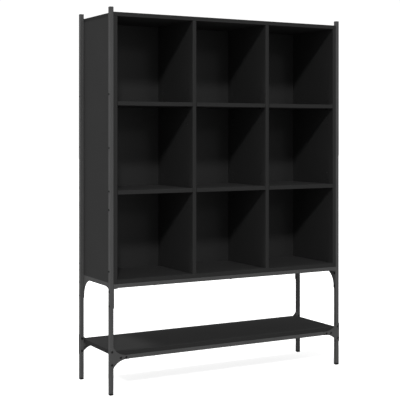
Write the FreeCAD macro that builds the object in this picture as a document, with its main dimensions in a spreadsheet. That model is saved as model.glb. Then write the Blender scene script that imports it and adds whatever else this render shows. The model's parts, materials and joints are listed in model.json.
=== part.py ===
# Open bookcase: a black panel cabinet of three by three cells, carried at its
# corners by four square steel uprights, with one low shelf between the legs.
# Millimetres. X runs to the right, Y to the back, Z up. The origin lies on the
# floor, in the middle of the width and of the depth.
import FreeCAD, Part
import os
import re
import Sketcher

SHEET_NAME = "Dimensions"

# alias, value in millimetres (or a plain count), what it is
DRIVING_DIMENSIONS = [
    ("overall_width", 1020, "outer faces of the uprights, side to side"),
    ("overall_depth", 290, "outer faces of the uprights, front to back"),
    ("overall_height", 1400, "floor to the top of the upright caps"),
    ("tube", 15, "side of the square steel tube"),
    ("tube_wall", 1.2, "wall of the tube"),
    ("tube_corner", 1.5, "outer corner radius of the tube"),
    ("board", 15, "thickness of the cabinet boards"),
    ("board_round", 0.8, "rounding of the edging along a board's front"),
    ("back_sheet", 3, "thickness of the back panel"),
    ("stub", 18, "height of the uprights above the top board"),
    ("cabinet_base", 400, "floor to the underside of the cabinet"),
    ("low_rail_top", 141.5, "floor to the underside of the low shelf"),
    ("plate", 2, "thickness of the arches and gussets"),
    ("arch_drop", 87, "height of a side arch from its top to the end of its legs"),
    ("arch_radius", 61, "radius of the arch beside each upright"),
    ("arch_tab", 14, "length of the tab that carries a rail end"),
    ("gusset_reach", 75.5, "length of a gusset from the outer side of the upright"),
    ("gusset_tall", 74, "height of a gusset along the upright"),
    ("gusset_blend", 66, "where the gusset's curves run out, from the outer side"),
    ("gusset_radius", 61, "radius of the gusset's curves"),
    ("cap_height", 3, "visible height of an upright's top cap"),
    ("cap_round", 1.2, "rounding of the top cap"),
    ("foot_height", 8, "visible height of a foot"),
    ("foot_round", 3, "rounding of the foot's lower edge"),
    ("plug_length", 12, "length of a cap or foot inside its tube"),
    ("plug_play", 0.2, "gap between a plug and the tube wall"),
    ("bolt_radius", 2.5, "shank of a frame bolt"),
    ("bolt_bore", 2.7, "bore for a frame bolt"),
    ("bolt_head", 4.5, "radius of a frame bolt's head"),
    ("bolt_crown", 2.4, "height of a frame bolt's head"),
    ("bolt_end", 2, "gap between a frame bolt's end and its nut's head"),
    ("socket_flats", 3, "hexagon socket across its flats"),
    ("socket_depth", 1.4, "depth of a hexagon socket"),
    ("sleeve_radius", 3.3, "sleeve of a frame nut, inside the tube"),
    ("sleeve_bore", 3.5, "bore for a frame nut's sleeve"),
    ("sleeve_length", 9, "length of a frame nut's sleeve"),
    ("sleeve_web", 1.2, "closed end of a frame nut's sleeve"),
    ("nut_crown", 1.2, "height of a frame nut's head"),
    ("screw_radius", 2, "shank of a wood screw"),
    ("screw_bore", 2.15, "bore for a wood screw"),
    ("screw_head", 3.8, "radius of a wood screw's head"),
    ("screw_crown", 2.2, "height of a wood screw's head"),
    ("screw_bite", 12, "depth of a wood screw in its board"),
    ("screw_slot", 1.4, "width of the cross slot in a wood screw's head"),
    ("tab_screw_length", 5.6, "shank of a screw that holds a rail end on its tab"),
    ("pin_radius", 2.4, "shank of a shelf pin"),
    ("pin_bore", 2.5, "bore for a shelf pin"),
    ("pin_depth", 7, "depth of a shelf pin's bore"),
    ("pin_pitch", 32, "step between pin bores"),
    ("pin_places", 5, "pin bores in each row"),
    ("pin_inset", 40, "pin rows from the board's front and back edges"),
    ("pin_reach", 9, "length of a shelf pin's flat outside its bore"),
    ("pin_width", 8, "width of a shelf pin's flat"),
    ("pin_flat", 2, "thickness of a shelf pin's flat"),
    ("shelf_play", 1, "gap at each end of an adjustable shelf"),
    ("dowel_radius", 4, "wooden dowel"),
    ("dowel_bore", 4.1, "bore for a dowel"),
    ("dowel_short", 9, "length of a dowel in a board's face"),
    ("dowel_long", 20, "length of a dowel in a board's end"),
    ("dowel_inset", 90, "dowels from the board's front and back edges"),
    ("confirmat_radius", 2.5, "shank of a joint screw"),
    ("confirmat_bore", 2.6, "bore for a joint screw"),
    ("confirmat_head", 3.5, "radius of a joint screw's head"),
    ("confirmat_sink", 4, "depth of the recess for a joint screw's head"),
    ("confirmat_length", 50, "length of a joint screw"),
    ("confirmat_socket", 2.8, "depth of the hexagon socket in a joint screw"),
    ("confirmat_inset", 55, "joint screws from the board's front and back edges"),
    ("cam_radius", 7.5, "cam lock"),
    ("cam_depth", 11, "depth of the recess for a cam lock"),
    ("cam_slot", 1.2, "width of the slot across a cam lock"),
    ("cam_slot_depth", 2, "depth of the slot across a cam lock"),
    ("cam_inset", 28, "cam lock's axis from the end of the bottom board"),
    ("cam_bolt_radius", 2.8, "cam bolt"),
    ("cam_bolt_bore", 3, "bore for a cam bolt"),
    ("fit_gap", 0.1, "gap around a part set in a bore"),
    ("nail_radius", 0.8, "nail of the back panel"),
    ("nail_head", 2, "radius of a nail's head"),
    ("nail_crown", 0.6, "height of a nail's head"),
    ("nail_length", 18, "length of a nail"),
]

# heights of fastenings above the floor
ARCH_BOLT_HEIGHTS = ("322", "373")
PANEL_SCREW_HEIGHTS = ("446", "668", "735", "891", "1085")
# distances of the gusset's rail bolts from the outer side, and half the
# distance between its upright bolts
GUSSET_RAIL_BOLTS = ("42", "63.5")
GUSSET_BOLT_RISE = "23.5"
# screws of a rail, as shares of its length
RAIL_SCREW_SHARES = ("1 / 6", "1 / 2", "5 / 6")
# nails of a standing board, as shares of the height between the outer boards'
# middles, and nails of one bay, as shares of its width from its middle
STANDING_NAIL_SHARES = (0.1, 0.26, 0.42, 0.58, 0.74, 0.9)
BAY_NAIL_SHARES = (-0.375, -0.125, 0.125, 0.375)
# a point on the dome of a fastener's head, as shares of its radius and rise
DOME_OUT = 0.62
DOME_UP = 0.7

# sizes that follow from the driving dimensions
BAY = "((overall_width - 2 * tube - 4 * board) / 3)"
CELL = "((overall_height - stub - cabinet_base - 4 * board) / 3)"
BOARD_DEPTH = "(overall_depth - back_sheet)"
LEFT = "(-overall_width / 2)"
FRONT = "(-overall_depth / 2)"
RIGHT = "(overall_width / 2)"
BACK = "(overall_depth / 2)"
PANEL_LEFT = f"({LEFT} + tube)"
CABINET_TOP = "(overall_height - stub)"
INNER_WIDTH = "(overall_width - 2 * tube)"
# a pin's axis lies this far below the underside of its shelf
PIN_SINK = "(pin_bore)"

# edges and faces closer than this count as being in one place
NEAR = 1e-6

SIDES = {"left": -1, "right": 1}
ENDS = {"front": -1, "back": 1}
BAYS = {"left": 0, "middle": 1, "right": 2}
LEVELS = {"lower": 1, "upper": 2}

document = FreeCAD.newDocument("Bookcase")
sheet = document.addObject("Spreadsheet::Sheet", SHEET_NAME)
sub_parts = []


def fill_sheet():
    """Writes each driving dimension to the sheet with its alias."""
    for row, (alias, number, meaning) in enumerate(DRIVING_DIMENSIONS, start=1):
        sheet.set(f"A{row}", meaning)
        sheet.set(f"B{row}", str(number))
        sheet.setAlias(f"B{row}", alias)
    document.recompute()


def bound(formula):
    """Turns a formula of dimension names into an expression on the sheet."""
    return re.sub(r"[a-z][a-z_]+", lambda word: f"{SHEET_NAME}.{word.group()}", formula)


def value(formula):
    """The number that a formula of dimension names gives."""
    return float(sheet.evalExpression(bound(formula)))


def point(x, y, z):
    return FreeCAD.Vector(value(x), value(y), value(z))


# ---------------------------------------------------------------- bodies

def new_body(label):
    body = document.addObject("PartDesign::Body", label)
    body.Label = label
    sub_parts.append(body)
    return body


def put(body, x, y, z):
    """Places a body's own origin at a point given by three formulas."""
    for axis, formula in zip("xyz", (x, y, z)):
        body.setExpression(f"Placement.Base.{axis}", bound(formula))


def origin_feature(body, role):
    return next(item for item in body.Origin.OriginFeatures if item.Role == role)


def new_sketch(body, role, offset="0"):
    """A sketch on one of the body's origin planes, moved along its normal."""
    sketch = body.newObject("Sketcher::SketchObject", f"{body.Name}_outline")
    sketch.AttachmentSupport = [(origin_feature(body, role), "")]
    sketch.MapMode = "FlatFace"
    sketch.setExpression("AttachmentOffset.Base.z", bound(offset))
    return sketch


def pin_down(sketch, geometry, vertex, x, y):
    """Fixes a sketch point at two formulas, measured from the sketch's origin."""
    for kind, formula in (("DistanceX", x), ("DistanceY", y)):
        rule = Sketcher.Constraint(kind, -1, 1, geometry, vertex, value(formula))
        number = sketch.addConstraint(rule)
        sketch.setExpression(f"Constraints[{number}]", bound(formula))


def add_rectangle(sketch, x_low, y_low, x_high, y_high):
    low = FreeCAD.Vector(value(x_low), value(y_low), 0)
    high = FreeCAD.Vector(value(x_high), value(y_high), 0)
    corners = [low, FreeCAD.Vector(high.x, low.y, 0), high, FreeCAD.Vector(low.x, high.y, 0)]
    first = sketch.GeometryCount
    for side in range(4):
        sketch.addGeometry(Part.LineSegment(corners[side], corners[(side + 1) % 4]), False)
    for side in range(4):
        following = first + (side + 1) % 4
        sketch.addConstraint(Sketcher.Constraint("Coincident", first + side, 2, following, 1))
        direction = "Horizontal" if side % 2 == 0 else "Vertical"
        sketch.addConstraint(Sketcher.Constraint(direction, first + side))
    pin_down(sketch, first, 1, x_low, y_low)
    pin_down(sketch, first + 2, 1, x_high, y_high)


def add_circle(sketch, x, y, radius):
    centre = FreeCAD.Vector(value(x), value(y), 0)
    upward = FreeCAD.Vector(0, 0, 1)
    circle = sketch.addGeometry(Part.Circle(centre, upward, value(radius)), False)
    number = sketch.addConstraint(Sketcher.Constraint("Radius", circle, value(radius)))
    sketch.setExpression(f"Constraints[{number}]", bound(radius))
    pin_down(sketch, circle, 3, x, y)


def pad(body, sketch, length, backwards=False):
    feature = body.newObject("PartDesign::Pad", "Pad")
    feature.Profile = sketch
    feature.setExpression("Length", bound(length))
    feature.Reversed = backwards
    sketch.Visibility = False
    document.recompute()
    return feature


def pocket(body, sketch, depth, along_normal=False):
    """Cuts a sketch into the body and makes sure that it took material away."""
    before = body.Shape.Volume
    feature = body.newObject("PartDesign::Pocket", "Pocket")
    feature.Profile = sketch
    feature.setExpression("Length", bound(depth))
    feature.Reversed = along_normal
    document.recompute()
    if body.Shape.Volume >= before:
        raise RuntimeError(f"{body.Label}: a pocket cuts nothing")
    return feature


def drill(body, role, centres, radius, depth, offset="0", along_normal=True):
    """Round bores at a list of sketch places, all of one radius and depth."""
    sketch = new_sketch(body, role, offset)
    for x, y in centres:
        add_circle(sketch, x, y, radius)
    return pocket(body, sketch, depth, along_normal)


def repeat(body, feature, axis_role, pitch, count):
    """Repeats a feature in a row along one of the body's axes."""
    pattern = body.newObject("PartDesign::LinearPattern", "Row")
    pattern.Originals = [feature]
    pattern.Direction = (origin_feature(body, axis_role), [""])
    pattern.setExpression("Length", bound(f"({pitch}) * ({count} - 1)"))
    pattern.setExpression("Occurrences", bound(count))
    body.Tip = pattern
    document.recompute()


def round_edges(body, feature, radius, chosen):
    """Fillets the edges of a feature that a test on the edge picks."""
    names = [
        f"Edge{number}"
        for number, edge in enumerate(feature.Shape.Edges, start=1)
        if chosen(edge)
    ]
    fillet = body.newObject("PartDesign::Fillet", "Rounding")
    fillet.Base = (feature, names)
    fillet.setExpression("Radius", bound(radius))
    document.recompute()
    return fillet


def runs_along(edge, direction):
    """True for a straight edge that is parallel to a direction."""
    if edge.Curve.TypeId != "Part::GeomLine":
        return False
    return abs(abs(edge.tangentAt(edge.FirstParameter).dot(direction)) - 1) < NEAR


ALONG_X = FreeCAD.Vector(1, 0, 0)
ALONG_Y = FreeCAD.Vector(0, 1, 0)
ALONG_Z = FreeCAD.Vector(0, 0, 1)


# ---------------------------------------------------------------- steel frame

def hollow_tube(label, plane_role, length, direction):
    """A square tube with rounded corners, standing on one origin plane."""
    body = new_body(label)
    section = new_sketch(body, plane_role)
    add_rectangle(section, "0", "0", "tube", "tube")
    solid = pad(body, section, length)
    round_edges(body, solid, "tube_corner", lambda edge: runs_along(edge, direction))
    hollow = new_sketch(body, plane_role)
    add_rectangle(hollow, "tube_wall", "tube_wall", "tube - tube_wall", "tube - tube_wall")
    pocket(body, hollow, length, along_normal=True)
    return body


def sleeve_bores(body, places, end):
    """Widens bores in the wall that faces the other row of uprights."""
    inner_side = "-tube" if end == "front" else "0"
    drill(body, "XZ_Plane", places, "sleeve_bore", "tube_wall", inner_side, end == "front")


def upright(end, side):
    """One full-height leg, bored for arch, panel and gusset fastenings."""
    length = "overall_height - foot_height - cap_height"
    body = hollow_tube(f"upright_{end}_{side}", "XY_Plane", length, ALONG_Z)
    arch = [("tube / 2", f"{level} - foot_height") for level in ARCH_BOLT_HEIGHTS]
    panel = [("tube / 2", f"{level} - foot_height") for level in PANEL_SCREW_HEIGHTS]
    middle = "low_rail_top - tube / 2 - foot_height"
    gusset = [("tube / 2", f"{middle} {sign} {GUSSET_BOLT_RISE}") for sign in "-+"]
    drill(body, "YZ_Plane", arch, "bolt_bore", "tube")
    drill(body, "YZ_Plane", panel, "screw_bore", "tube")
    drill(body, "XZ_Plane", gusset, "bolt_bore", "tube", along_normal=False)
    inner_side = "tube" if side == "left" else "0"
    drill(body, "YZ_Plane", arch, "sleeve_bore", "tube_wall", inner_side, side == "right")
    sleeve_bores(body, gusset, end)
    x = LEFT if side == "left" else f"{RIGHT} - tube"
    y = FRONT if end == "front" else f"{BACK} - tube"
    put(body, x, y, "foot_height")


def plug(label, visible, downwards, rounding, x, y, z):
    """A moulded end piece: a visible square head and a plug inside the tube."""
    body = new_body(label)
    head_outline = new_sketch(body, "XY_Plane")
    add_rectangle(head_outline, "0", "0", "tube", "tube")
    head = pad(body, head_outline, visible, backwards=downwards)
    outer_level = value(visible) * (-1 if downwards else 1)
    round_edges(body, head, "tube_corner", lambda edge: runs_along(edge, ALONG_Z))

    def on_outer_face(edge):
        return abs(edge.BoundBox.ZMin - outer_level) < NEAR and edge.BoundBox.ZLength < NEAR

    round_edges(body, body.Tip, rounding, on_outer_face)
    inner_low = "tube_wall + plug_play"
    inner_high = "tube - tube_wall - plug_play"
    plug_outline = new_sketch(body, "XY_Plane")
    add_rectangle(plug_outline, inner_low, inner_low, inner_high, inner_high)
    pad(body, plug_outline, "plug_length", backwards=not downwards)
    put(body, x, y, z)


def end_pieces(end, side):
    x = LEFT if side == "left" else f"{RIGHT} - tube"
    y = FRONT if end == "front" else f"{BACK} - tube"
    plug(f"top_cap_{end}_{side}", "cap_height", False, "cap_round", x, y, "overall_height - cap_height")
    plug(f"foot_{end}_{side}", "foot_height", True, "foot_round", x, y, "foot_height")


def rail_screw_places(length):
    """Three screw places along a rail: its middle and a sixth in from each end."""
    return [(f"({length}) * {share}", "tube / 2") for share in RAIL_SCREW_SHARES]


def cabinet_rail(end):
    """A tube between the side arches, under the front or back of the cabinet."""
    length = f"{INNER_WIDTH} - 2 * plate"
    body = hollow_tube(f"cabinet_{end}_rail", "YZ_Plane", length, ALONG_X)
    drill(body, "XY_Plane", rail_screw_places(length), "screw_bore", "tube")
    tab_places = [("arch_tab / 2", "tube / 2"), (f"{length} - arch_tab / 2", "tube / 2")]
    drill(body, "XY_Plane", tab_places, "screw_bore", "tube_wall")
    y = FRONT if end == "front" else f"{BACK} - tube"
    put(body, f"{PANEL_LEFT} + plate", y, "cabinet_base - tube")


def low_rail(end):
    """A tube between two uprights, under the front or back of the low shelf."""
    body = hollow_tube(f"low_{end}_rail", "YZ_Plane", INNER_WIDTH, ALONG_X)
    drill(body, "XY_Plane", rail_screw_places(INNER_WIDTH), "screw_bore", "tube")
    near = [(f"{reach} - tube", "tube / 2") for reach in GUSSET_RAIL_BOLTS]
    far = [(f"{INNER_WIDTH} - ({reach} - tube)", "tube / 2") for reach in GUSSET_RAIL_BOLTS]
    drill(body, "XZ_Plane", near + far, "bolt_bore", "tube", along_normal=False)
    sleeve_bores(body, near + far, end)
    y = FRONT if end == "front" else f"{BACK} - tube"
    put(body, PANEL_LEFT, y, "low_rail_top - tube")


def side_arch(side):
    """A flat plate under a side panel: a strip with two legs, arched between
    them, and a bent tab at each end that carries the end of a rail."""
    body = new_body(f"side_arch_{side}")
    blank = new_sketch(body, "YZ_Plane")
    add_rectangle(blank, "0", "0", "overall_depth", "arch_drop")
    pad(body, blank, "plate")
    window = new_sketch(body, "YZ_Plane")
    add_rectangle(window, "tube", "-plate", "overall_depth - tube", "arch_drop - tube")
    opening = pocket(body, window, "plate", along_normal=True)
    crown = value("arch_drop - tube")

    def at_window_corner(edge):
        return runs_along(edge, ALONG_X) and abs(edge.CenterOfMass.z - crown) < NEAR

    round_edges(body, opening, "arch_radius", at_window_corner)
    for y_low, y_high in (("0", "tube"), ("overall_depth - tube", "overall_depth")):
        tab = new_sketch(body, "YZ_Plane", "plate")
        add_rectangle(tab, y_low, "arch_drop - tube - plate", y_high, "arch_drop - tube")
        pad(body, tab, "arch_tab")
    arch_base = "(cabinet_base - arch_drop)"
    legs = [
        (y, f"{level} - {arch_base}")
        for y in ("tube / 2", "overall_depth - tube / 2")
        for level in ARCH_BOLT_HEIGHTS
    ]
    drill(body, "YZ_Plane", legs, "sleeve_bore", "plate")
    tabs = [("plate + arch_tab / 2", y) for y in ("tube / 2", "overall_depth - tube / 2")]
    drill(body, "XY_Plane", tabs, "screw_bore", "plate", offset="arch_drop - tube - plate")
    put(body, PANEL_LEFT, FRONT, arch_base)
    if side == "right":
        body.Placement.Rotation = FreeCAD.Rotation(ALONG_Z, 180)
        put(body, f"-{PANEL_LEFT}", BACK, arch_base)


def gusset(end, side):
    """A corner plate of the low shelf, hollowed by a curve above and below its
    rail. Its own origin lies on the rail's axis, at the upright's outer side."""
    body = new_body(f"gusset_{end}_{side}")
    blank = new_sketch(body, "XZ_Plane")
    add_rectangle(blank, "0", "-gusset_tall / 2", "gusset_reach", "gusset_tall / 2")
    solid = pad(body, blank, "plate")
    round_edges(body, solid, "tube_corner", lambda edge: runs_along(edge, ALONG_Y))
    for sign in ("-", "+"):
        strip = new_sketch(body, "XZ_Plane")
        levels = sorted((f"{sign}tube / 2", f"{sign}gusset_tall / 2"), key=value)
        add_rectangle(strip, "gusset_blend", levels[0], "gusset_reach", levels[1])
        pocket(body, strip, "plate", along_normal=True)
        centre = ("gusset_blend", f"{sign}(tube / 2 + gusset_radius)")
        drill(body, "XZ_Plane", [centre], "gusset_radius", "plate")
    upright_bolts = [("tube / 2", f"{sign}{GUSSET_BOLT_RISE}") for sign in "-+"]
    rail_bolts = [(reach, "0") for reach in GUSSET_RAIL_BOLTS]
    drill(body, "XZ_Plane", upright_bolts + rail_bolts, "bolt_bore", "plate")
    turns = {
        ("front", "left"): (ALONG_Z, 0),
        ("front", "right"): (ALONG_Y, 180),
        ("back", "left"): (ALONG_X, 180),
        ("back", "right"): (ALONG_Z, 180),
    }
    body.Placement.Rotation = FreeCAD.Rotation(*turns[(end, side)])
    x = LEFT if side == "left" else RIGHT
    y = FRONT if end == "front" else BACK
    put(body, x, y, "low_rail_top - tube / 2")


# ---------------------------------------------------------------- boards

def board_body(label, length, depth, direction_role):
    """A board with a rounded front edge. A lying board runs along X and a
    standing board along Z; both have their front at Y = 0."""
    body = new_body(label)
    outline = new_sketch(body, direction_role)
    if direction_role == "XY_Plane":
        add_rectangle(outline, "0", "0", length, depth)
        long_axis = ALONG_X
    else:
        add_rectangle(outline, "0", "0", depth, length)
        long_axis = ALONG_Z
    slab = pad(body, outline, "board")

    def on_front(edge):
        return runs_along(edge, long_axis) and abs(edge.CenterOfMass.y) < NEAR

    round_edges(body, slab, "board_round", on_front)
    return body


def pin_bores(body, underside_of_level, inner_faces):
    """Rows of pin bores around each shelf level, on one or both faces."""
    lowest = "(pin_places - 1) / 2 * pin_pitch"
    places = [
        (y, f"{underside_of_level(level)} - {PIN_SINK} - {lowest}")
        for level in LEVELS.values()
        for y in ("pin_inset", f"{BOARD_DEPTH} - pin_inset")
    ]
    for face in inner_faces:
        offset = "0" if face == "low" else "board"
        bores = drill(body, "YZ_Plane", places, "pin_bore", "pin_depth", offset, face == "low")
        repeat(body, bores, "Z_Axis", "pin_pitch", "pin_places")


def shelf_underside(level):
    """Height of a shelf's underside above the bottom board's top."""
    return f"({level} * {CELL} + ({level} - 1) * board)"


def joint_rows(inset):
    """Two places along a board's depth, one near each edge."""
    return [inset, f"({BOARD_DEPTH} - {inset})"]


def side_panel(side):
    """A cabinet side. It runs from the rails to the top board."""
    length = f"({CABINET_TOP} - board - cabinet_base)"
    body = board_body(f"side_panel_{side}", length, BOARD_DEPTH, "YZ_Plane")
    inner = "high" if side == "left" else "low"
    inner_offset = "board" if side == "left" else "0"
    outer_offset = "0" if side == "left" else "board"
    pin_bores(body, lambda level: f"(board + {shelf_underside(level)})", [inner])
    screws = [
        (y, f"{level} - cabinet_base")
        for y in ("tube / 2", "overall_depth - tube / 2")
        for level in PANEL_SCREW_HEIGHTS
    ]
    drill(body, "YZ_Plane", screws, "screw_bore", "screw_bite", outer_offset, side == "left")
    dowels = [(y, "board / 2") for y in joint_rows("dowel_inset")]
    drill(body, "YZ_Plane", dowels, "dowel_bore", "dowel_short", inner_offset, side == "right")
    cams = [(y, "board / 2") for y in joint_rows("confirmat_inset")]
    drill(body, "YZ_Plane", cams, "cam_bolt_bore", "dowel_short", inner_offset, side == "right")
    top_joints(body, length)
    x = PANEL_LEFT if side == "left" else f"(-{PANEL_LEFT} - board)"
    put(body, x, FRONT, "cabinet_base")


def top_joints(body, length):
    """Bores in a standing board's upper end for dowels and joint screws."""
    dowels = [("board / 2", y) for y in joint_rows("dowel_inset")]
    screws = [("board / 2", y) for y in joint_rows("confirmat_inset")]
    drill(body, "XY_Plane", dowels, "dowel_bore", "dowel_long", length, False)
    drill(body, "XY_Plane", screws, "confirmat_bore", "confirmat_length - board", length, False)


def divider_left_face(order):
    return f"({PANEL_LEFT} + board + {order} * {BAY} + ({order} - 1) * board)"


def divider(side):
    """A full-height board between two bays, bored for pins on both faces."""
    order = 1 if side == "left" else 2
    length = f"({CABINET_TOP} - 2 * board - cabinet_base)"
    body = board_body(f"divider_{side}", length, BOARD_DEPTH, "YZ_Plane")
    pin_bores(body, shelf_underside, ["low", "high"])
    top_joints(body, length)
    dowels = [("board / 2", y) for y in joint_rows("dowel_inset")]
    screws = [("board / 2", y) for y in joint_rows("confirmat_inset")]
    drill(body, "XY_Plane", dowels, "dowel_bore", "dowel_long")
    drill(body, "XY_Plane", screws, "confirmat_bore", "confirmat_length - board")
    put(body, divider_left_face(order), FRONT, "(cabinet_base + board)")


def standing_board_axes(inner_only):
    """Middles of the standing boards, from the left face of the cabinet."""
    dividers = [f"({divider_left_face(order)} - {PANEL_LEFT} + board / 2)" for order in (1, 2)]
    if inner_only:
        return dividers
    return ["(board / 2)"] + dividers + [f"({INNER_WIDTH} - board / 2)"]


def top_board():
    """The cabinet's top, which covers the ends of all standing boards."""
    body = board_body("top_board", INNER_WIDTH, BOARD_DEPTH, "XY_Plane")
    axes = standing_board_axes(False)
    dowels = [(x, y) for x in axes for y in joint_rows("dowel_inset")]
    screws = [(x, y) for x in axes for y in joint_rows("confirmat_inset")]
    drill(body, "XY_Plane", dowels, "dowel_bore", "dowel_short")
    drill(body, "XY_Plane", screws, "confirmat_bore", "board")
    head_bore = "confirmat_head + fit_gap"
    drill(body, "XY_Plane", screws, head_bore, "confirmat_sink", "board", False)
    put(body, PANEL_LEFT, FRONT, f"({CABINET_TOP} - board)")


def bottom_board():
    """The cabinet's floor, between the side panels and on the rails."""
    length = f"({INNER_WIDTH} - 2 * board)"
    body = board_body("bottom_board", length, BOARD_DEPTH, "XY_Plane")
    axes = [f"({x} - board)" for x in standing_board_axes(True)]
    dowels = [(x, y) for x in axes for y in joint_rows("dowel_inset")]
    screws = [(x, y) for x in axes for y in joint_rows("confirmat_inset")]
    drill(body, "XY_Plane", dowels, "dowel_bore", "dowel_short", "board", False)
    drill(body, "XY_Plane", screws, "confirmat_bore", "board")
    drill(body, "XY_Plane", screws, "confirmat_head + fit_gap", "confirmat_sink")
    cams = [
        (x, y)
        for x in ("cam_inset", f"({length} - cam_inset)")
        for y in joint_rows("confirmat_inset")
    ]
    drill(body, "XY_Plane", cams, "cam_radius + fit_gap", "cam_depth")
    for offset, along_normal in (("0", True), (length, False)):
        end_dowels = [(y, "board / 2") for y in joint_rows("dowel_inset")]
        end_bolts = [(y, "board / 2") for y in joint_rows("confirmat_inset")]
        drill(body, "YZ_Plane", end_dowels, "dowel_bore", "dowel_long", offset, along_normal)
        drill(body, "YZ_Plane", end_bolts, "cam_bolt_bore", "cam_inset", offset, along_normal)
    rail_length = f"({INNER_WIDTH} - 2 * plate)"
    from_rails = [
        (f"({x} + plate - board)", y)
        for x, _ in rail_screw_places(rail_length)
        for y in ("tube / 2", "overall_depth - tube / 2")
    ]
    drill(body, "XY_Plane", from_rails, "screw_bore", "screw_bite")
    put(body, f"({PANEL_LEFT} + board)", FRONT, "cabinet_base")


def low_shelf_board():
    """The long board on the low rails, between the uprights."""
    body = board_body("low_shelf_board", INNER_WIDTH, "overall_depth", "XY_Plane")
    places = [
        (x, y)
        for x, _ in rail_screw_places(INNER_WIDTH)
        for y in ("tube / 2", "overall_depth - tube / 2")
    ]
    drill(body, "XY_Plane", places, "screw_bore", "screw_bite")
    put(body, PANEL_LEFT, FRONT, "low_rail_top")


def adjustable_shelf(bay, level):
    """A loose shelf that lies on four pins, with play at its ends and back."""
    length = f"({BAY} - 2 * shelf_play)"
    depth = f"({BOARD_DEPTH} - shelf_play)"
    body = board_body(f"shelf_{bay}_{level}", length, depth, "XY_Plane")
    x = f"({PANEL_LEFT} + board + {BAYS[bay]} * ({BAY} + board) + shelf_play)"
    put(body, x, FRONT, f"(cabinet_base + board + {shelf_underside(LEVELS[level])})")


def back_panel():
    """A thin sheet nailed over the back edges of the cabinet boards."""
    sheet_box = document.addObject("Part::Box", "back_panel")
    sheet_box.Label = "back_panel"
    sizes = (INNER_WIDTH, "back_sheet", f"({CABINET_TOP} - cabinet_base)")
    for name, formula in zip(("Length", "Width", "Height"), sizes):
        sheet_box.setExpression(name, bound(formula))
    put(sheet_box, PANEL_LEFT, f"({BACK} - back_sheet)", "cabinet_base")
    sub_parts.append(sheet_box)


# ---------------------------------------------------------------- fasteners

def headed_shank(head, crown, shank, length):
    """A domed head above the origin and a round shank below it."""
    rim = crown / 3
    outline = [
        Part.LineSegment(FreeCAD.Vector(0, 0, -length), FreeCAD.Vector(shank, 0, -length)),
        Part.LineSegment(FreeCAD.Vector(shank, 0, -length), FreeCAD.Vector(shank, 0, 0)),
        Part.LineSegment(FreeCAD.Vector(shank, 0, 0), FreeCAD.Vector(head, 0, 0)),
        Part.LineSegment(FreeCAD.Vector(head, 0, 0), FreeCAD.Vector(head, 0, rim)),
        Part.Arc(
            FreeCAD.Vector(head, 0, rim),
            FreeCAD.Vector(DOME_OUT * head, 0, rim + DOME_UP * (crown - rim)),
            FreeCAD.Vector(0, 0, crown),
        ),
        Part.LineSegment(FreeCAD.Vector(0, 0, crown), FreeCAD.Vector(0, 0, -length)),
    ]
    face = Part.Face(Part.Wire([line.toShape() for line in outline]))
    return face.revolve(FreeCAD.Vector(0, 0, 0), ALONG_Z, 360)


def hexagon(flats, bottom, height):
    """A six-sided prism given by the distance across its flats."""
    corner = flats / 3 ** 0.5
    turn = FreeCAD.Rotation(ALONG_Z, 60)
    corners = [FreeCAD.Vector(corner, 0, bottom)]
    for _ in range(6):
        corners.append(turn.multVec(corners[-1]))
    return Part.Face(Part.makePolygon(corners)).extrude(FreeCAD.Vector(0, 0, height))


def frame_bolt(length):
    """A button-head bolt with a hexagon socket."""
    bolt = headed_shank(value("bolt_head"), value("bolt_crown"), value("bolt_radius"), length)
    bottom = value("bolt_crown - socket_depth")
    return bolt.cut(hexagon(value("socket_flats"), bottom, value("bolt_crown")))


def frame_nut():
    """A sleeve nut: a low round head above the origin and a bored sleeve below."""
    length, crown = value("sleeve_length"), value("nut_crown")
    start = FreeCAD.Vector(0, 0, -length)
    head = Part.makeCylinder(value("bolt_head"), crown)
    nut = head.fuse(Part.makeCylinder(value("sleeve_radius"), length, start)).removeSplitter()
    bore = Part.makeCylinder(value("bolt_bore"), value("sleeve_length - sleeve_web"), start)
    socket = hexagon(value("socket_flats"), value("nut_crown - socket_depth"), crown)
    return nut.cut(bore).cut(socket)


def frame_bolt_length():
    """Reaches through a tube and a plate, but not quite to its nut's head."""
    return value("tube + plate - bolt_end")


def wood_screw(length):
    """A domed screw with a cross slot."""
    screw = headed_shank(value("screw_head"), value("screw_crown"), value("screw_radius"), length)
    arm, slot = value("screw_head"), value("screw_slot")
    depth = value("screw_crown / 2")
    for x, y in ((arm, slot), (slot, arm)):
        corner = FreeCAD.Vector(-x / 2, -y / 2, depth)
        screw = screw.cut(Part.makeBox(x, y, value("screw_crown"), corner))
    return screw


def joint_screw():
    """A joint screw whose cylindrical head lies in its recess, top at the origin."""
    sink = value("confirmat_sink")
    head = Part.makeCylinder(value("confirmat_head"), sink, FreeCAD.Vector(0, 0, -sink))
    length = value("confirmat_length - 2 * fit_gap")
    shank = Part.makeCylinder(value("confirmat_radius"), length, FreeCAD.Vector(0, 0, -length))
    bottom = -value("confirmat_socket")
    return head.fuse(shank).removeSplitter().cut(hexagon(value("socket_flats"), bottom, sink))


def place(shape, location, direction):
    """A copy of a shape made along +Z, turned to a direction and moved."""
    copy = shape.copy()
    turn = FreeCAD.Rotation(ALONG_Z, direction)
    copy.Placement = FreeCAD.Placement(location, turn)
    return copy


def group(label, solids):
    """One sub-part that holds many equal fasteners as separate solids."""
    feature = document.addObject("Part::Feature", label)
    feature.Label = label
    feature.Shape = Part.makeCompound(solids)
    sub_parts.append(feature)


def corner_signs():
    return [(x, y) for x in SIDES.values() for y in ENDS.values()]


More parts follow.
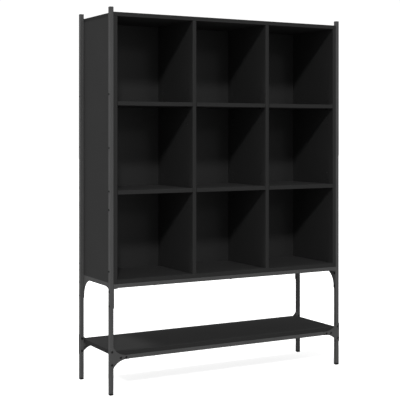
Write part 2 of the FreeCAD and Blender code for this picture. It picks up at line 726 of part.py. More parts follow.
def arch_fasteners():
    """Bolts from the uprights' outer sides through the arches' legs, with nuts."""
    bolts, nuts = [], []
    grip = value("tube + plate")
    bolt = frame_bolt(frame_bolt_length())
    nut = frame_nut()
    for x_sign, y_sign in corner_signs():
        outward = FreeCAD.Vector(x_sign, 0, 0)
        y = y_sign * value("overall_depth / 2 - tube / 2")
        for level in ARCH_BOLT_HEIGHTS:
            seat = FreeCAD.Vector(x_sign * value("overall_width / 2"), y, value(level))
            bolts.append(place(bolt, seat, outward))
            nuts.append(place(nut, seat - outward * grip, -outward))
    group("arch_bolts", bolts)
    group("arch_nuts", nuts)


def gusset_fasteners():
    """Bolts from the gussets' outer faces through uprights and low rails."""
    bolts, nuts = [], []
    grip = value("tube + plate")
    bolt = frame_bolt(frame_bolt_length())
    nut = frame_nut()
    axis_level = value("low_rail_top - tube / 2")
    rise = value(GUSSET_BOLT_RISE)
    for x_sign, y_sign in corner_signs():
        outward = FreeCAD.Vector(0, y_sign, 0)
        places = [(value("tube / 2"), -rise), (value("tube / 2"), rise)]
        places += [(value(reach), 0) for reach in GUSSET_RAIL_BOLTS]
        for inset, lift in places:
            x = x_sign * (value("overall_width / 2") - inset)
            y = y_sign * value("overall_depth / 2 + plate")
            seat = FreeCAD.Vector(x, y, axis_level + lift)
            bolts.append(place(bolt, seat, outward))
            nuts.append(place(nut, seat - outward * grip, -outward))
    group("gusset_bolts", bolts)
    group("gusset_nuts", nuts)


def panel_screws():
    """Screws from the uprights' outer sides into the side panels."""
    screw = wood_screw(value("tube + screw_bite - fit_gap"))
    solids = []
    for x_sign, y_sign in corner_signs():
        y = y_sign * value("overall_depth / 2 - tube / 2")
        for level in PANEL_SCREW_HEIGHTS:
            seat = FreeCAD.Vector(x_sign * value("overall_width / 2"), y, value(level))
            solids.append(place(screw, seat, FreeCAD.Vector(x_sign, 0, 0)))
    group("panel_screws", solids)


def rail_screws(label, rail_left, length, underside):
    """Screws up through a pair of rails into the board that lies on them."""
    screw = wood_screw(value("tube + screw_bite - fit_gap"))
    solids = []
    for y_sign in ENDS.values():
        y = y_sign * value("overall_depth / 2 - tube / 2")
        for x, _ in rail_screw_places(length):
            seat = FreeCAD.Vector(value(f"{rail_left} + {x}"), y, value(underside))
            solids.append(place(screw, seat, -ALONG_Z))
    group(label, solids)


def tab_screws():
    """Short screws up through the arches' tabs into the ends of the rails."""
    screw = wood_screw(value("tab_screw_length"))
    inset = value("overall_width / 2 - tube - plate - arch_tab / 2")
    level = value("cabinet_base - tube - plate")
    solids = []
    for x_sign, y_sign in corner_signs():
        y = y_sign * value("overall_depth / 2 - tube / 2")
        solids.append(place(screw, FreeCAD.Vector(x_sign * inset, y, level), -ALONG_Z))
    group("tab_screws", solids)


def shelf_pin():
    """A pin along +X: a round shank in the bore and a flat that bears a shelf.
    The origin lies on the board's face, on the bore's axis."""
    shank_length = value("pin_depth - fit_gap")
    start = FreeCAD.Vector(-shank_length, 0, 0)
    shank = Part.makeCylinder(value("pin_radius"), shank_length, start, ALONG_X)
    width, reach = value("pin_width"), value("pin_reach")
    flat_low = value("pin_bore - pin_flat")
    corner = FreeCAD.Vector(0, -width / 2, flat_low)
    flat = Part.makeBox(reach, width, value("pin_flat"), corner)
    root_low = -value("pin_bore")
    root_corner = FreeCAD.Vector(0, -width / 2, root_low)
    root = Part.makeBox(value("pin_flat"), width, flat_low - root_low, root_corner)
    return shank.fuse([flat, root]).removeSplitter()


def shelf_pins():
    """Four pins under each adjustable shelf."""
    pin = shelf_pin()
    solids = []
    for order in BAYS.values():
        left_face = f"({PANEL_LEFT} + board + {order} * ({BAY} + board))"
        for level in LEVELS.values():
            height = f"(cabinet_base + board + {shelf_underside(level)} - {PIN_SINK})"
            for row in ("pin_inset", f"({BOARD_DEPTH} - pin_inset)"):
                left = point(left_face, f"{FRONT} + {row}", height)
                right = point(f"{left_face} + {BAY}", f"{FRONT} + {row}", height)
                for location, turn in ((left, 0), (right, 180)):
                    copy = pin.copy()
                    copy.Placement = FreeCAD.Placement(location, FreeCAD.Rotation(ALONG_Z, turn))
                    solids.append(copy)
    group("shelf_pins", solids)


def carcass_dowels():
    """Wooden dowels between the lying and standing boards."""
    short, long = value("dowel_short - fit_gap"), value("dowel_long - fit_gap")
    radius = value("dowel_radius")
    dowel = Part.makeCylinder(radius, short + long, FreeCAD.Vector(0, 0, -long))
    solids = []
    for row in joint_rows("dowel_inset"):
        y = value(f"{FRONT} + {row}")
        for x in standing_board_axes(False):
            seam = FreeCAD.Vector(value(f"{PANEL_LEFT} + {x}"), y, value(f"{CABINET_TOP} - board"))
            solids.append(place(dowel, seam, ALONG_Z))
        for x in standing_board_axes(True):
            seam = FreeCAD.Vector(value(f"{PANEL_LEFT} + {x}"), y, value("cabinet_base + board"))
            solids.append(place(dowel, seam, -ALONG_Z))
        for x_sign in SIDES.values():
            x = x_sign * value("overall_width / 2 - tube - board")
            seam = FreeCAD.Vector(x, y, value("cabinet_base + board / 2"))
            solids.append(place(dowel, seam, FreeCAD.Vector(x_sign, 0, 0)))
    group("carcass_dowels", solids)


def joint_screws():
    """Screws down through the top board and up through the bottom board."""
    screw = joint_screw()
    solids = []
    for row in joint_rows("confirmat_inset"):
        y = value(f"{FRONT} + {row}")
        for x in standing_board_axes(False):
            seat = FreeCAD.Vector(value(f"{PANEL_LEFT} + {x}"), y, value(CABINET_TOP))
            solids.append(place(screw, seat, ALONG_Z))
        for x in standing_board_axes(True):
            seat = FreeCAD.Vector(value(f"{PANEL_LEFT} + {x}"), y, value("cabinet_base"))
            solids.append(place(screw, seat, -ALONG_Z))
    group("joint_screws", solids)


def cam_fittings():
    """Cam locks in the bottom board's underside and their bolts in the sides."""
    depth = value("cam_depth - fit_gap")
    radius, slot = value("cam_radius"), value("cam_slot")
    cam = Part.makeCylinder(radius, depth)
    corner = FreeCAD.Vector(-radius / 2, -slot / 2, 0)
    cam = cam.cut(Part.makeBox(radius, slot, value("cam_slot_depth"), corner))
    in_side = value("dowel_short - fit_gap")
    in_board = value("cam_inset - cam_radius - 2 * fit_gap")
    start = FreeCAD.Vector(0, 0, -in_board)
    bolt = Part.makeCylinder(value("cam_bolt_radius"), in_side + in_board, start)
    cams, bolts = [], []
    for row in joint_rows("confirmat_inset"):
        y = value(f"{FRONT} + {row}")
        for x_sign in SIDES.values():
            seam = x_sign * value("overall_width / 2 - tube - board")
            middle = value("cabinet_base + board / 2")
            bolts.append(place(bolt, FreeCAD.Vector(seam, y, middle), FreeCAD.Vector(x_sign, 0, 0)))
            x = seam - x_sign * value("cam_inset")
            cams.append(place(cam, FreeCAD.Vector(x, y, value("cabinet_base")), ALONG_Z))
    group("cam_locks", cams)
    group("cam_bolts", bolts)


def back_panel_nails():
    """Nails through the back panel into every board edge behind it."""
    length = value("nail_length")
    shank = Part.makeCylinder(value("nail_radius"), length, FreeCAD.Vector(0, 0, -length))
    nail = shank.fuse(Part.makeCylinder(value("nail_head"), value("nail_crown"))).removeSplitter()
    y = value("overall_depth / 2")
    base, top = value("cabinet_base + board / 2"), value(f"{CABINET_TOP} - board / 2")
    left = value(PANEL_LEFT)
    places = []
    for x in standing_board_axes(False):
        for share in STANDING_NAIL_SHARES:
            places.append((left + value(x), base + share * (top - base)))
    for order in BAYS.values():
        middle = left + value(f"board + {order} * ({BAY} + board) + {BAY} / 2")
        for share in BAY_NAIL_SHARES:
            across = middle + share * value(BAY)
            places += [(across, base), (across, top)]
    solids = [place(nail, FreeCAD.Vector(x, y, z), ALONG_Y) for x, z in places]
    group("back_panel_nails", solids)


# ---------------------------------------------------------------- assembly

def build():
    fill_sheet()
    for end in ENDS:
        for side in SIDES:
            upright(end, side)
            end_pieces(end, side)
            gusset(end, side)
        cabinet_rail(end)
        low_rail(end)
    for side in SIDES:
        side_arch(side)
        side_panel(side)
        divider(side)
    top_board()
    bottom_board()
    low_shelf_board()
    for bay in BAYS:
        for level in LEVELS:
            adjustable_shelf(bay, level)
    back_panel()
    arch_fasteners()
    gusset_fasteners()
    panel_screws()
    cabinet_rail_left = f"({PANEL_LEFT} + plate)"
    cabinet_rail_length = f"({INNER_WIDTH} - 2 * plate)"
    rail_screws("cabinet_rail_screws", cabinet_rail_left, cabinet_rail_length, "cabinet_base - tube")
    rail_screws("low_shelf_screws", PANEL_LEFT, INNER_WIDTH, "low_rail_top - tube")
    tab_screws()
    shelf_pins()
    carcass_dowels()
    joint_screws()
    cam_fittings()
    back_panel_nails()
    document.recompute()


def check_and_export():
    """Refuses a failed object or shape, then writes each sub-part's file."""
    for item in document.Objects:
        if "Invalid" in item.State or "Error" in item.State:
            raise RuntimeError(f"{item.Label} failed: {item.State}")
    for item in sub_parts:
        if item.Shape.isNull() or not item.Shape.isValid():
            raise RuntimeError(f"{item.Label} has no valid shape")
    os.makedirs("parts", exist_ok=True)
    for item in sub_parts:
        item.Shape.exportStep(f"parts/{item.Label}.step")
        box = item.Shape.BoundBox
        print(f"{item.Label}: {len(item.Shape.Solids)} solid(s), "
              f"{box.XLength:.1f} x {box.YLength:.1f} x {box.ZLength:.1f} mm")


build()
check_and_export()
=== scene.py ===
# %% [markdown]
# # An open bookcase in black board and grey steel tube
# The real object is a cabinet of black boards, three cells wide and three high,
# held between four square steel uprights, with one low shelf near the floor.
# The shapes of its boards, tubes, plates and fasteners come from the packed
# model, which stays as it is. This lesson gives them their finishes, adds the
# thin edging that is glued along the boards, and sets up light and camera.

import json
import math

import bpy
import numpy as np
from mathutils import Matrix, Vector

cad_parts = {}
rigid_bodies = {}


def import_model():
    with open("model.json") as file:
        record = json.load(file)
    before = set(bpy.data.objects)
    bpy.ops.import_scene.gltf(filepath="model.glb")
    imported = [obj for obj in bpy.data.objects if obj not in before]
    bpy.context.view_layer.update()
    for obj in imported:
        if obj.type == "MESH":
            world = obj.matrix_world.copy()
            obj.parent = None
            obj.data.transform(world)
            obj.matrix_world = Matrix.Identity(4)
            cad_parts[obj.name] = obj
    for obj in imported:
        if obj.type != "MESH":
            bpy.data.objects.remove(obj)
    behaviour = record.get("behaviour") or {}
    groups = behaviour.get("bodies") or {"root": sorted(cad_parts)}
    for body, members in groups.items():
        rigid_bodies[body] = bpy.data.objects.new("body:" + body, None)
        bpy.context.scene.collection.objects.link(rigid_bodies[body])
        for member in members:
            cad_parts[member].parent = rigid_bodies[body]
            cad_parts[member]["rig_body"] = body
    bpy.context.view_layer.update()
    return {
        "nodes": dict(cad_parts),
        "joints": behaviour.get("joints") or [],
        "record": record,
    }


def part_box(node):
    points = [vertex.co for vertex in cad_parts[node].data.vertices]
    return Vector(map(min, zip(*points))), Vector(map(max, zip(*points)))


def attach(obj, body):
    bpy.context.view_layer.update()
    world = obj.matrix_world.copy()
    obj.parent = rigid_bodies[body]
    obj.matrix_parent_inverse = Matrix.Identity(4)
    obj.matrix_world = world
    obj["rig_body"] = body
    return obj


for startup_object in list(bpy.data.objects):
    bpy.data.objects.remove(startup_object)
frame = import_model()
nodes = frame["nodes"]

# %% [markdown]
# ## The camera
# A product view of such a bookcase is taken from a step to its left, at chest
# height, with the camera held level so that every upright stays vertical. A
# level camera puts the horizon in the middle of the frame, so the lens is
# shifted down, as on a view camera, to bring the feet into the picture.

# %% Set up the camera
CAMERA_PLACE = (-2.0169, -3.5020, 0.9475)
CAMERA_TURN = math.radians(29.22)
SENSOR_WIDTH = 36.0
FOCAL_LENGTH = 91.87
LENS_SHIFT = -0.1693

camera_data = bpy.data.cameras.new("studio_camera")
camera_data.sensor_width = SENSOR_WIDTH
camera_data.lens = FOCAL_LENGTH
camera_data.shift_y = LENS_SHIFT
camera = bpy.data.objects.new("studio_camera", camera_data)
camera.location = CAMERA_PLACE
camera.rotation_euler = (math.radians(90), 0, -CAMERA_TURN)
bpy.context.scene.collection.objects.link(camera)
bpy.context.scene.camera = camera
print("lens", FOCAL_LENGTH, "mm, turned", round(math.degrees(CAMERA_TURN), 1), "degrees")

# %% [markdown]
# ## Colours and shader nodes
# Paint makers give colours as hex codes in sRGB, while Blender's shaders work
# with linear light. One function turns the first into the second. A second
# function adds any node with its settings and its links, so that a finish
# reads as a short list of layers, from the pattern up to the shader.

# %% Helpers for finishes
def linear_colour(hex_code):
    """An sRGB hex code as linear red, green, blue and an alpha of one.
    Below 0.04045 a channel is divided by 12.92; above, it is raised to 2.4."""
    channels = np.array([int(hex_code[i:i + 2], 16) for i in (1, 3, 5)]) / 255
    low, high = channels / 12.92, ((channels + 0.055) / 1.055) ** 2.4
    return (*np.where(channels <= 0.04045, low, high), 1.0)


def add_node(tree, kind, settings=None, inputs=None):
    """Adds one node, sets its own settings and fills its inputs. An input is
    given by its name or its number. Its value is a number, a colour, another
    node's output, or another node, which then gives its first output in use."""
    node = tree.nodes.new(kind)
    for name, setting in (settings or {}).items():
        setattr(node, name, setting)
    for key, given in (inputs or {}).items():
        named = [s for s in node.inputs if s.enabled and s.name == key]
        socket = named[0] if named else node.inputs[key]
        if isinstance(given, bpy.types.Node):
            given = next(s for s in given.outputs if s.enabled)
        if isinstance(given, bpy.types.NodeSocket):
            tree.links.new(given, socket)
        else:
            socket.default_value = given
    return node


def new_finish(name):
    """An empty material. Returns it, its node tree and the object's own
    coordinates in metres, which carry every pattern below."""
    material = bpy.data.materials.new(name)
    material.use_nodes = True
    tree = material.node_tree
    tree.nodes.clear()
    return material, tree, add_node(tree, "ShaderNodeTexCoord").outputs["Object"]


print("mid grey in linear light:", round(linear_colour("#808080")[0], 3))

# %% [markdown]
# ## Powder coat on the steel tubes and plates
# The uprights, rails, arches and gussets are mild steel, sprayed with a dry
# polyester powder and baked. The melted powder sets in a fine orange peel, with
# dips about 1.5 mm apart, and its thickness varies slowly over a hand's width.
# The eye reads an even dark grey, satin, with soft highlights along the rounded
# corners. Noise at both sizes gives the peel as bump and the slow change as a
# slight shift in colour and gloss.

# %% Powder-coated steel
PEEL_PITCH = 0.0015
PEEL_DEPTH = 0.0001
CLOUD_PITCH = 0.09

powder_coat, tree, place = new_finish("powder_coated_mild_steel")
cloud = add_node(tree, "ShaderNodeTexNoise", None,
                 {"Vector": place, "Scale": 1 / CLOUD_PITCH, "Detail": 3.0})
peel = add_node(tree, "ShaderNodeTexNoise", None,
                {"Vector": place, "Scale": 1 / PEEL_PITCH, "Detail": 2.0, "Roughness": 0.45})
colour = add_node(tree, "ShaderNodeMix", {"data_type": "RGBA"},
                  {"Factor": cloud, "A": linear_colour("#464646"), "B": linear_colour("#525252")})
gloss = add_node(tree, "ShaderNodeMapRange", None, {"Value": cloud, "To Min": 0.42, "To Max": 0.52})
dips = add_node(tree, "ShaderNodeBump", None,
                {"Height": peel, "Strength": 0.25, "Distance": PEEL_DEPTH})
coat = add_node(tree, "ShaderNodeBsdfPrincipled", None,
                {"Base Color": colour, "Roughness": gloss, "Normal": dips, "IOR": 1.5})
add_node(tree, "ShaderNodeOutputMaterial", None, {"Surface": coat})
print("finish:", powder_coat.name)

# %% [markdown]
# ## Melamine-faced chipboard
# The cabinet boards are chipboard pressed between sheets of black resin-soaked
# paper. The press plate leaves a shallow pattern of pores that run along the
# board, some 25 mm long and under a millimetre wide. The eye reads a deep matt
# black that turns a little lighter where it is seen at a low angle. The pores
# are noise stretched along the board; they are drawn 1.2 mm wide, about twice
# their real width, because finer ones would only show as grain in the render.

# %% Black melamine in the two directions of the boards, the lying copy painted lighter
PORE_WIDTH = 0.0012
PORE_LENGTH = 0.025
PORE_DEPTH = 0.0001
PORE_SHARE, CLOUD_SHARE = 0.6, 0.4
PAPER_CLOUD = 0.12
GLOSS_SWING = 0.06


def melamine(name, along, dark, light, dull):
    """Black melamine whose pores run along axis 0, 1 or 2 of the object. Its
    shade adds a share of the pores to a share of the paper's slow change."""
    finish, tree, place = new_finish(name)
    scale = [1 / PORE_WIDTH] * 3
    scale[along] = 1 / PORE_LENGTH
    stretched = add_node(tree, "ShaderNodeMapping", None, {"Vector": place, "Scale": scale})
    pores = add_node(tree, "ShaderNodeTexNoise", None,
                     {"Vector": stretched, "Scale": 1.0, "Detail": 2.0, "Roughness": 0.5})
    cloud = add_node(tree, "ShaderNodeTexNoise", None,
                     {"Vector": place, "Scale": 1 / PAPER_CLOUD, "Detail": 2.0})
    slow = add_node(tree, "ShaderNodeMapRange", None, {"Value": cloud, "To Max": CLOUD_SHARE})
    shade = add_node(tree, "ShaderNodeMath", {"operation": "MULTIPLY_ADD"},
                     {0: pores, 1: PORE_SHARE, 2: slow})
    colour = add_node(tree, "ShaderNodeMix", {"data_type": "RGBA"},
                      {"Factor": shade, "A": linear_colour(dark), "B": linear_colour(light)})
    gloss = add_node(tree, "ShaderNodeMapRange", None,
                     {"Value": pores, "To Min": dull - GLOSS_SWING, "To Max": dull + GLOSS_SWING})
    relief = add_node(tree, "ShaderNodeBump", None,
                      {"Height": pores, "Strength": 0.3, "Distance": PORE_DEPTH})
    face = add_node(tree, "ShaderNodeBsdfPrincipled", None,
                    {"Base Color": colour, "Roughness": gloss, "Normal": relief, "IOR": 1.5})
    add_node(tree, "ShaderNodeOutputMaterial", None, {"Surface": face})
    return finish


# The lying copy is painted a shade lighter than the standing one: painted light on the tops of
# shelves and cell floors.
lying_board_painted_lighter = melamine("black_melamine_grain_across_painted_lighter", along=0,
                       dark="#202020", light="#303030", dull=0.70)
standing_board = melamine("black_melamine_grain_upright", along=2,
                          dark="#1f1f1f", light="#2d2d2d", dull=0.64)
print("finishes:", lying_board_painted_lighter.name, "and", standing_board.name)

# %% [markdown]
# ## The back panel's lacquered hardboard
# The back is a thin sheet of hardboard, pressed from wet fibre and rolled with
# black lacquer. Its face is smoother than the melamine, with a faint mottle of
# fibres a few millimetres long and no direction. The eye reads a plain soft
# black.

# %% Lacquered hardboard
FIBRE_SIZE = 0.003
FIBRE_DEPTH = 0.0001

hardboard, tree, place = new_finish("lacquered_hardboard")
fibres = add_node(tree, "ShaderNodeTexNoise", None,
                  {"Vector": place, "Scale": 1 / FIBRE_SIZE, "Detail": 3.0, "Distortion": 0.6})
colour = add_node(tree, "ShaderNodeMix", {"data_type": "RGBA"},
                  {"Factor": fibres, "A": linear_colour("#1c1c1c"), "B": linear_colour("#242424")})
gloss = add_node(tree, "ShaderNodeMapRange", None, {"Value": fibres, "To Min": 0.5, "To Max": 0.6})
fuzz = add_node(tree, "ShaderNodeBump", None,
                {"Height": fibres, "Strength": 0.15, "Distance": FIBRE_DEPTH})
lacquer = add_node(tree, "ShaderNodeBsdfPrincipled", None,
                   {"Base Color": colour, "Roughness": gloss, "Normal": fuzz, "IOR": 1.5})
add_node(tree, "ShaderNodeOutputMaterial", None, {"Surface": lacquer})
print("finish:", hardboard.name)

# %% [markdown]
# ## Plastics
# Three plastics are on this piece. The boards' edging is ABS, glued on hot and
# scraped, which leaves it a touch smoother than the board's face. The tubes'
# open ends are closed by moulded polyethylene: grey plugs at the top, in the
# colour of the coat, and soft black feet below. Their moulds are spark-eroded
# to a grit under a millimetre, which makes the plastic matt.

# %% Scraped and moulded plastics
PLASTIC_SWING = 0.05


def grainy_plastic(name, dark, light, roughness, grain_size, depth):
    """A coloured plastic with a fine even relief: noise of one grain size for
    its colour, its gloss and its bump."""
    finish, tree, place = new_finish(name)
    grain = add_node(tree, "ShaderNodeTexNoise", None,
                     {"Vector": place, "Scale": 1 / grain_size, "Detail": 2.0})
    colour = add_node(tree, "ShaderNodeMix", {"data_type": "RGBA"},
                      {"Factor": grain, "A": linear_colour(dark), "B": linear_colour(light)})
    gloss = add_node(tree, "ShaderNodeMapRange", None,
                     {"Value": grain, "To Min": roughness - PLASTIC_SWING,
                      "To Max": roughness + PLASTIC_SWING})
    relief = add_node(tree, "ShaderNodeBump", None,
                      {"Height": grain, "Strength": 0.3, "Distance": depth})
    skin = add_node(tree, "ShaderNodeBsdfPrincipled", None,
                    {"Base Color": colour, "Roughness": gloss, "Normal": relief, "IOR": 1.5})
    add_node(tree, "ShaderNodeOutputMaterial", None, {"Surface": skin})
    return finish


scraped_abs = grainy_plastic("scraped_abs_edging", "#181818", "#1e1e1e",
                             roughness=0.50, grain_size=0.004, depth=0.00005)
grey_polyethylene = grainy_plastic("moulded_grey_polyethylene", "#4c4c4c", "#565656",
                                   roughness=0.5, grain_size=0.0008, depth=0.00006)
black_polyethylene = grainy_plastic("moulded_black_polyethylene", "#040404", "#0a0a0a",
                                    roughness=0.70, grain_size=0.0008, depth=0.00008)
print("finishes:", scraped_abs.name, grey_polyethylene.name, black_polyethylene.name)

# %% [markdown]
# ## Blackened and zinc-plated steel
# The bolts, nuts and screws that hold the frame are blackened in a hot bath,
# which leaves a thin dark oxide with a dull metal sheen. The cabinet's hidden
# fittings are zinc plated: a pale grey with fine crystals and a faint cloud.
# Both are metals, so their colour is the colour of their reflection.

# %% Fastener metals
def plated_metal(name, dark, light, smooth, rough, crystal):
    """A metal whose thin layer varies in crystals of one size, in shade and in
    roughness, from smooth to rough."""
    finish, tree, place = new_finish(name)
    cells = add_node(tree, "ShaderNodeTexVoronoi", None, {"Vector": place, "Scale": 1 / crystal})
    grey = add_node(tree, "ShaderNodeRGBToBW", None, {"Color": cells.outputs["Color"]})
    colour = add_node(tree, "ShaderNodeMix", {"data_type": "RGBA"},
                      {"Factor": grey, "A": linear_colour(dark), "B": linear_colour(light)})
    gloss = add_node(tree, "ShaderNodeMapRange", None,
                     {"Value": grey, "To Min": smooth, "To Max": rough})
    layer = add_node(tree, "ShaderNodeBsdfPrincipled", None,
                     {"Base Color": colour, "Roughness": gloss, "Metallic": 1.0})
    add_node(tree, "ShaderNodeOutputMaterial", None, {"Surface": layer})
    return finish


black_oxide = plated_metal("black_oxide_steel", "#2e2e2e", "#3a3a3a",
                           smooth=0.32, rough=0.42, crystal=0.0006)
zinc_plate = plated_metal("zinc_plated_steel", "#a6a7a8", "#c4c5c6",
                          smooth=0.28, rough=0.42, crystal=0.0008)
print("finishes:", black_oxide.name, "and", zinc_plate.name)

# %% [markdown]
# ## Beech
# The dowels are turned beech, pale and straight-grained, with short darker
# flecks. They sit inside the boards and would show only if one were lifted off.

# %% Turned beech
FLECK_WIDTH = 0.0006
FLECK_LENGTH = 0.004

beech, tree, place = new_finish("turned_beech")
stretched = add_node(tree, "ShaderNodeMapping", None,
                     {"Vector": place, "Scale": (1 / FLECK_WIDTH, 1 / FLECK_WIDTH, 1 / FLECK_LENGTH)})
flecks = add_node(tree, "ShaderNodeTexNoise", None,
                  {"Vector": stretched, "Scale": 1.0, "Detail": 3.0})
colour = add_node(tree, "ShaderNodeMix", {"data_type": "RGBA"},
                  {"Factor": flecks, "A": linear_colour("#b98d62"), "B": linear_colour("#dcb88d")})
wood = add_node(tree, "ShaderNodeBsdfPrincipled", None, {"Base Color": colour, "Roughness": 0.6})
add_node(tree, "ShaderNodeOutputMaterial", None, {"Surface": wood})
print("finish:", beech.name)

# %% [markdown]
# ## Which node has which finish
# Every node of the imported model keeps its mesh and gets a finish through its
# material slot. The record says which slot a node has. The boards of one slot differ in the
# direction of their pores, and the lying ones are painted a shade lighter, as painted light on their
# tops.

# %% Give every node its finish
STANDING = ("side_panel", "divider")
FINISH_OF_SLOT = {
    "powder_coated_steel": powder_coat,
    "black_board": lying_board_painted_lighter,
    "back_sheet": hardboard,
    "grey_plastic": grey_polyethylene,
    "black_plastic": black_polyethylene,
    "black_fasteners": black_oxide,
    "zinc_steel": zinc_plate,
    "beech": beech,
}

for part in frame["record"]["subparts"]:
    name = part["node"]
    finish = FINISH_OF_SLOT[part["material_slot"]]
    if name.startswith(STANDING):
        finish = standing_board
    mesh = nodes[name].data
    mesh.materials.clear()
    mesh.materials.append(finish)

# %% [markdown]
# ## A profile carried along a path
# An edging strip has one cross-section all along its board, so its surface is a
# profile carried from one end to the other. The profile is a closed ring of
# points, and neighbouring copies of it are joined by four-sided faces. Made
# this way, the strip needs no modifier and its faces point outwards by rule.

# %% Profile and path
STRIP_DEPTH = 0.0010
STRIP_PROUD = 0.00003
STRIP_ROUND = 0.00083
RING_STEPS = 6


def rounded_ring(width, depth):
    """A rectangle whose two front corners are quarter circles of a radius.
    Column 0 runs across the width and column 1 from front to back; the points
    go round from the front, through the positive side, to the back."""
    turn = np.linspace(0, math.pi / 2, RING_STEPS)
    right = np.stack([width / 2 - STRIP_ROUND + STRIP_ROUND * np.sin(turn),
                      STRIP_ROUND - STRIP_ROUND * np.cos(turn)], axis=1)
    back = np.array([[width / 2, depth], [-width / 2, depth]])
    return np.concatenate([right, back, right[::-1] * (-1, 1)])


def carried_profile(name, rings):
    """A closed mesh from an array of stops x ring points x 3, in metres. Face
    (i, j) joins points j and j + 1 of ring i to the same points of ring i + 1;
    the ring wraps round, and the first and the last one are closed flat."""
    stops, count = rings.shape[:2]
    i, j = np.meshgrid(np.arange(stops - 1), np.arange(count), indexing="ij")
    after = (j + 1) % count
    quads = np.stack([i * count + j, i * count + after,
                      (i + 1) * count + after, (i + 1) * count + j], axis=-1)
    ends = [np.arange(count)[::-1].tolist(), (np.arange(count) + (stops - 1) * count).tolist()]
    mesh = bpy.data.meshes.new(name)
    mesh.from_pydata(rings.reshape(-1, 3).tolist(), [], quads.reshape(-1, 4).tolist() + ends)
    mesh.update()
    piece = bpy.data.objects.new(name, mesh)
    bpy.context.scene.collection.objects.link(piece)
    return piece


shelf_low, shelf_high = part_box("low_shelf_board")
sample = rounded_ring(shelf_high[2] - shelf_low[2], STRIP_DEPTH)
print("points round a strip:", len(sample))

# %% [markdown]
# ## The edging strips
# The press glues a strip of black plastic, 1 mm thick, along every board edge
# that shows: the front of each board and shelf, both ends of the top, and all
# four sides of the low shelf. It stands a few hundredths of a millimetre proud,
# where the scraper stopped, and is rounded at both sides. The eye takes the thin
# line that frames each cell as the mark of a made board. A strip lies along one
# side of its board's box, so it needs nothing but the box.

# %% Lay the edging strips
X, Y, Z = np.eye(3)


def edging(node, side, outward, across, front_trim=0.0, back_trim=0.0):
    """A strip on the side of a node's box that faces outward, across being the
    direction of the board's thickness. The strip runs along the third axis and
    is trimmed where it meets a strip that laps over it."""
    low, high = (np.array(corner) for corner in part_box(node))
    run = np.abs(np.cross(outward, across))
    width = (high - low) @ across + 2 * STRIP_PROUD
    ring = rounded_ring(width, STRIP_DEPTH + STRIP_PROUD)
    if np.linalg.det([across, -outward, run]) < 0:
        ring = ring[::-1]
    middle = (low + high) / 2
    face = middle + outward * ((high - low) @ np.abs(outward) / 2 + STRIP_PROUD)
    half_run = (high - low) @ run / 2
    stops = np.array([front_trim - half_run, half_run - back_trim])
    rings = face + ring @ np.array([across, -outward]) + stops[:, None, None] * run
    piece = carried_profile(f"edging_{node}_{side}", rings)
    piece.data.materials.append(scraped_abs)
    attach(piece, nodes[node]["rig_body"])
    return piece


lying = ["top_board", "bottom_board", "low_shelf_board", *(j["child"] for j in frame["joints"])]
standing = ["side_panel_left", "side_panel_right", "divider_left", "divider_right"]
strips = [edging(node, "front", -Y, Z) for node in lying]
strips += [edging(node, "front", -Y, X) for node in standing]
for side, outward in (("left", -X), ("right", X)):
    strips.append(edging("top_board", side, outward, Z, STRIP_DEPTH))
    strips.append(edging("low_shelf_board", side, outward, Z, STRIP_DEPTH, STRIP_DEPTH))
strips.append(edging("low_shelf_board", "back", Y, Z))
print("strips:", len(strips), "with", len(strips[0].data.polygons), "faces each")

# %% [markdown]
# ## Light
# Four lights make the scene. The key comes from the left, in front and above,
# and throws the slanting shadows into the cells. A weak fill, lower and from the
# right, reaches the backs of the cells. A broad light from high on the left
# brightens the steel and the end of the low shelf. The white room does the rest,
# and it is brighter on the left and in front. The camera sees a white backdrop.

# %% Light the studio
KEY_DIRECTION = (0.48, 1.0, -0.79)
FILL_DIRECTION = (-0.16, 1.0, -0.33)
SIDE_DIRECTION = (1.0, -0.05, -1.25)
BRIGHT_SIDE = (-0.550, -0.826, 0.125)
ROOM_DIM, ROOM_BRIGHT = 0.095, 0.435
BACKDROP = 1.05
WHITE = linear_colour("#ffffff")


def far_light(name, direction, strength, spread):
    """A far light whose rays travel along a direction; its spread in degrees
    sets how soft its shadows are."""
    data = bpy.data.lights.new(name, "SUN")
    data.energy = strength
    data.angle = math.radians(spread)
    lamp = bpy.data.objects.new(name, data)
    x, y, z = direction
    lamp.rotation_euler = (math.atan2(math.hypot(x, y), -z), 0, math.atan2(-x, y))
    bpy.context.scene.collection.objects.link(lamp)
    return lamp


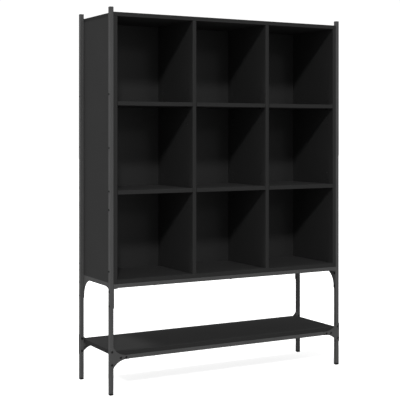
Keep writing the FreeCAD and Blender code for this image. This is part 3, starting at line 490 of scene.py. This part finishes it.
far_light("key_light", KEY_DIRECTION, strength=1.40, spread=6.0)
far_light("fill_light", FILL_DIRECTION, strength=0.106, spread=8.0)
far_light("side_light", SIDE_DIRECTION, strength=1.8, spread=16.0)

room = bpy.data.worlds.new("white_room")
room.use_nodes = True
bpy.context.scene.world = room
tree = room.node_tree
tree.nodes.clear()
facing = add_node(tree, "ShaderNodeTexCoord").outputs["Generated"]
towards = add_node(tree, "ShaderNodeVectorMath", {"operation": "DOT_PRODUCT"},
                   {0: facing, 1: BRIGHT_SIDE}).outputs["Value"]
glow = add_node(tree, "ShaderNodeMapRange", None,
                {"Value": towards, "From Min": -1.0, "From Max": 1.0,
                 "To Min": ROOM_DIM, "To Max": ROOM_BRIGHT})
cast = add_node(tree, "ShaderNodeBackground", None, {"Color": WHITE, "Strength": glow})
seen = add_node(tree, "ShaderNodeBackground", None, {"Color": WHITE, "Strength": BACKDROP})
path = add_node(tree, "ShaderNodeLightPath").outputs["Is Camera Ray"]
mix = add_node(tree, "ShaderNodeMixShader", None, {0: path, 1: cast, 2: seen})
add_node(tree, "ShaderNodeOutputWorld", None, {"Surface": mix})
bpy.context.scene.view_settings.view_transform = "Standard"

# %% [markdown]
# ## Floor
# The floor is a plain pale sheet. It gives off a little light of its own, as a
# lit studio floor does, so that it goes to white with no hard shadow.

# %% Lay the floor
FLOOR_REACH = 30.0
FLOOR_GLOW = 0.82

floor_mesh = bpy.data.meshes.new("floor")
corners = FLOOR_REACH * np.array([(-1, -1, 0), (1, -1, 0), (1, 1, 0), (-1, 1, 0)])
floor_mesh.from_pydata(corners.tolist(), [], [(0, 1, 2, 3)])
floor = bpy.data.objects.new("floor", floor_mesh)
bpy.context.scene.collection.objects.link(floor)
pale, tree, place = new_finish("pale_floor")
sheet = add_node(tree, "ShaderNodeBsdfPrincipled", None,
                 {"Base Color": linear_colour("#f4f4f4"), "Roughness": 0.9,
                  "Emission Color": WHITE, "Emission Strength": FLOOR_GLOW})
add_node(tree, "ShaderNodeOutputMaterial", None, {"Surface": sheet})
floor_mesh.materials.append(pale)
floor.visible_diffuse = False
floor.visible_glossy = False
print("floor laid,", 2 * FLOOR_REACH, "m across")
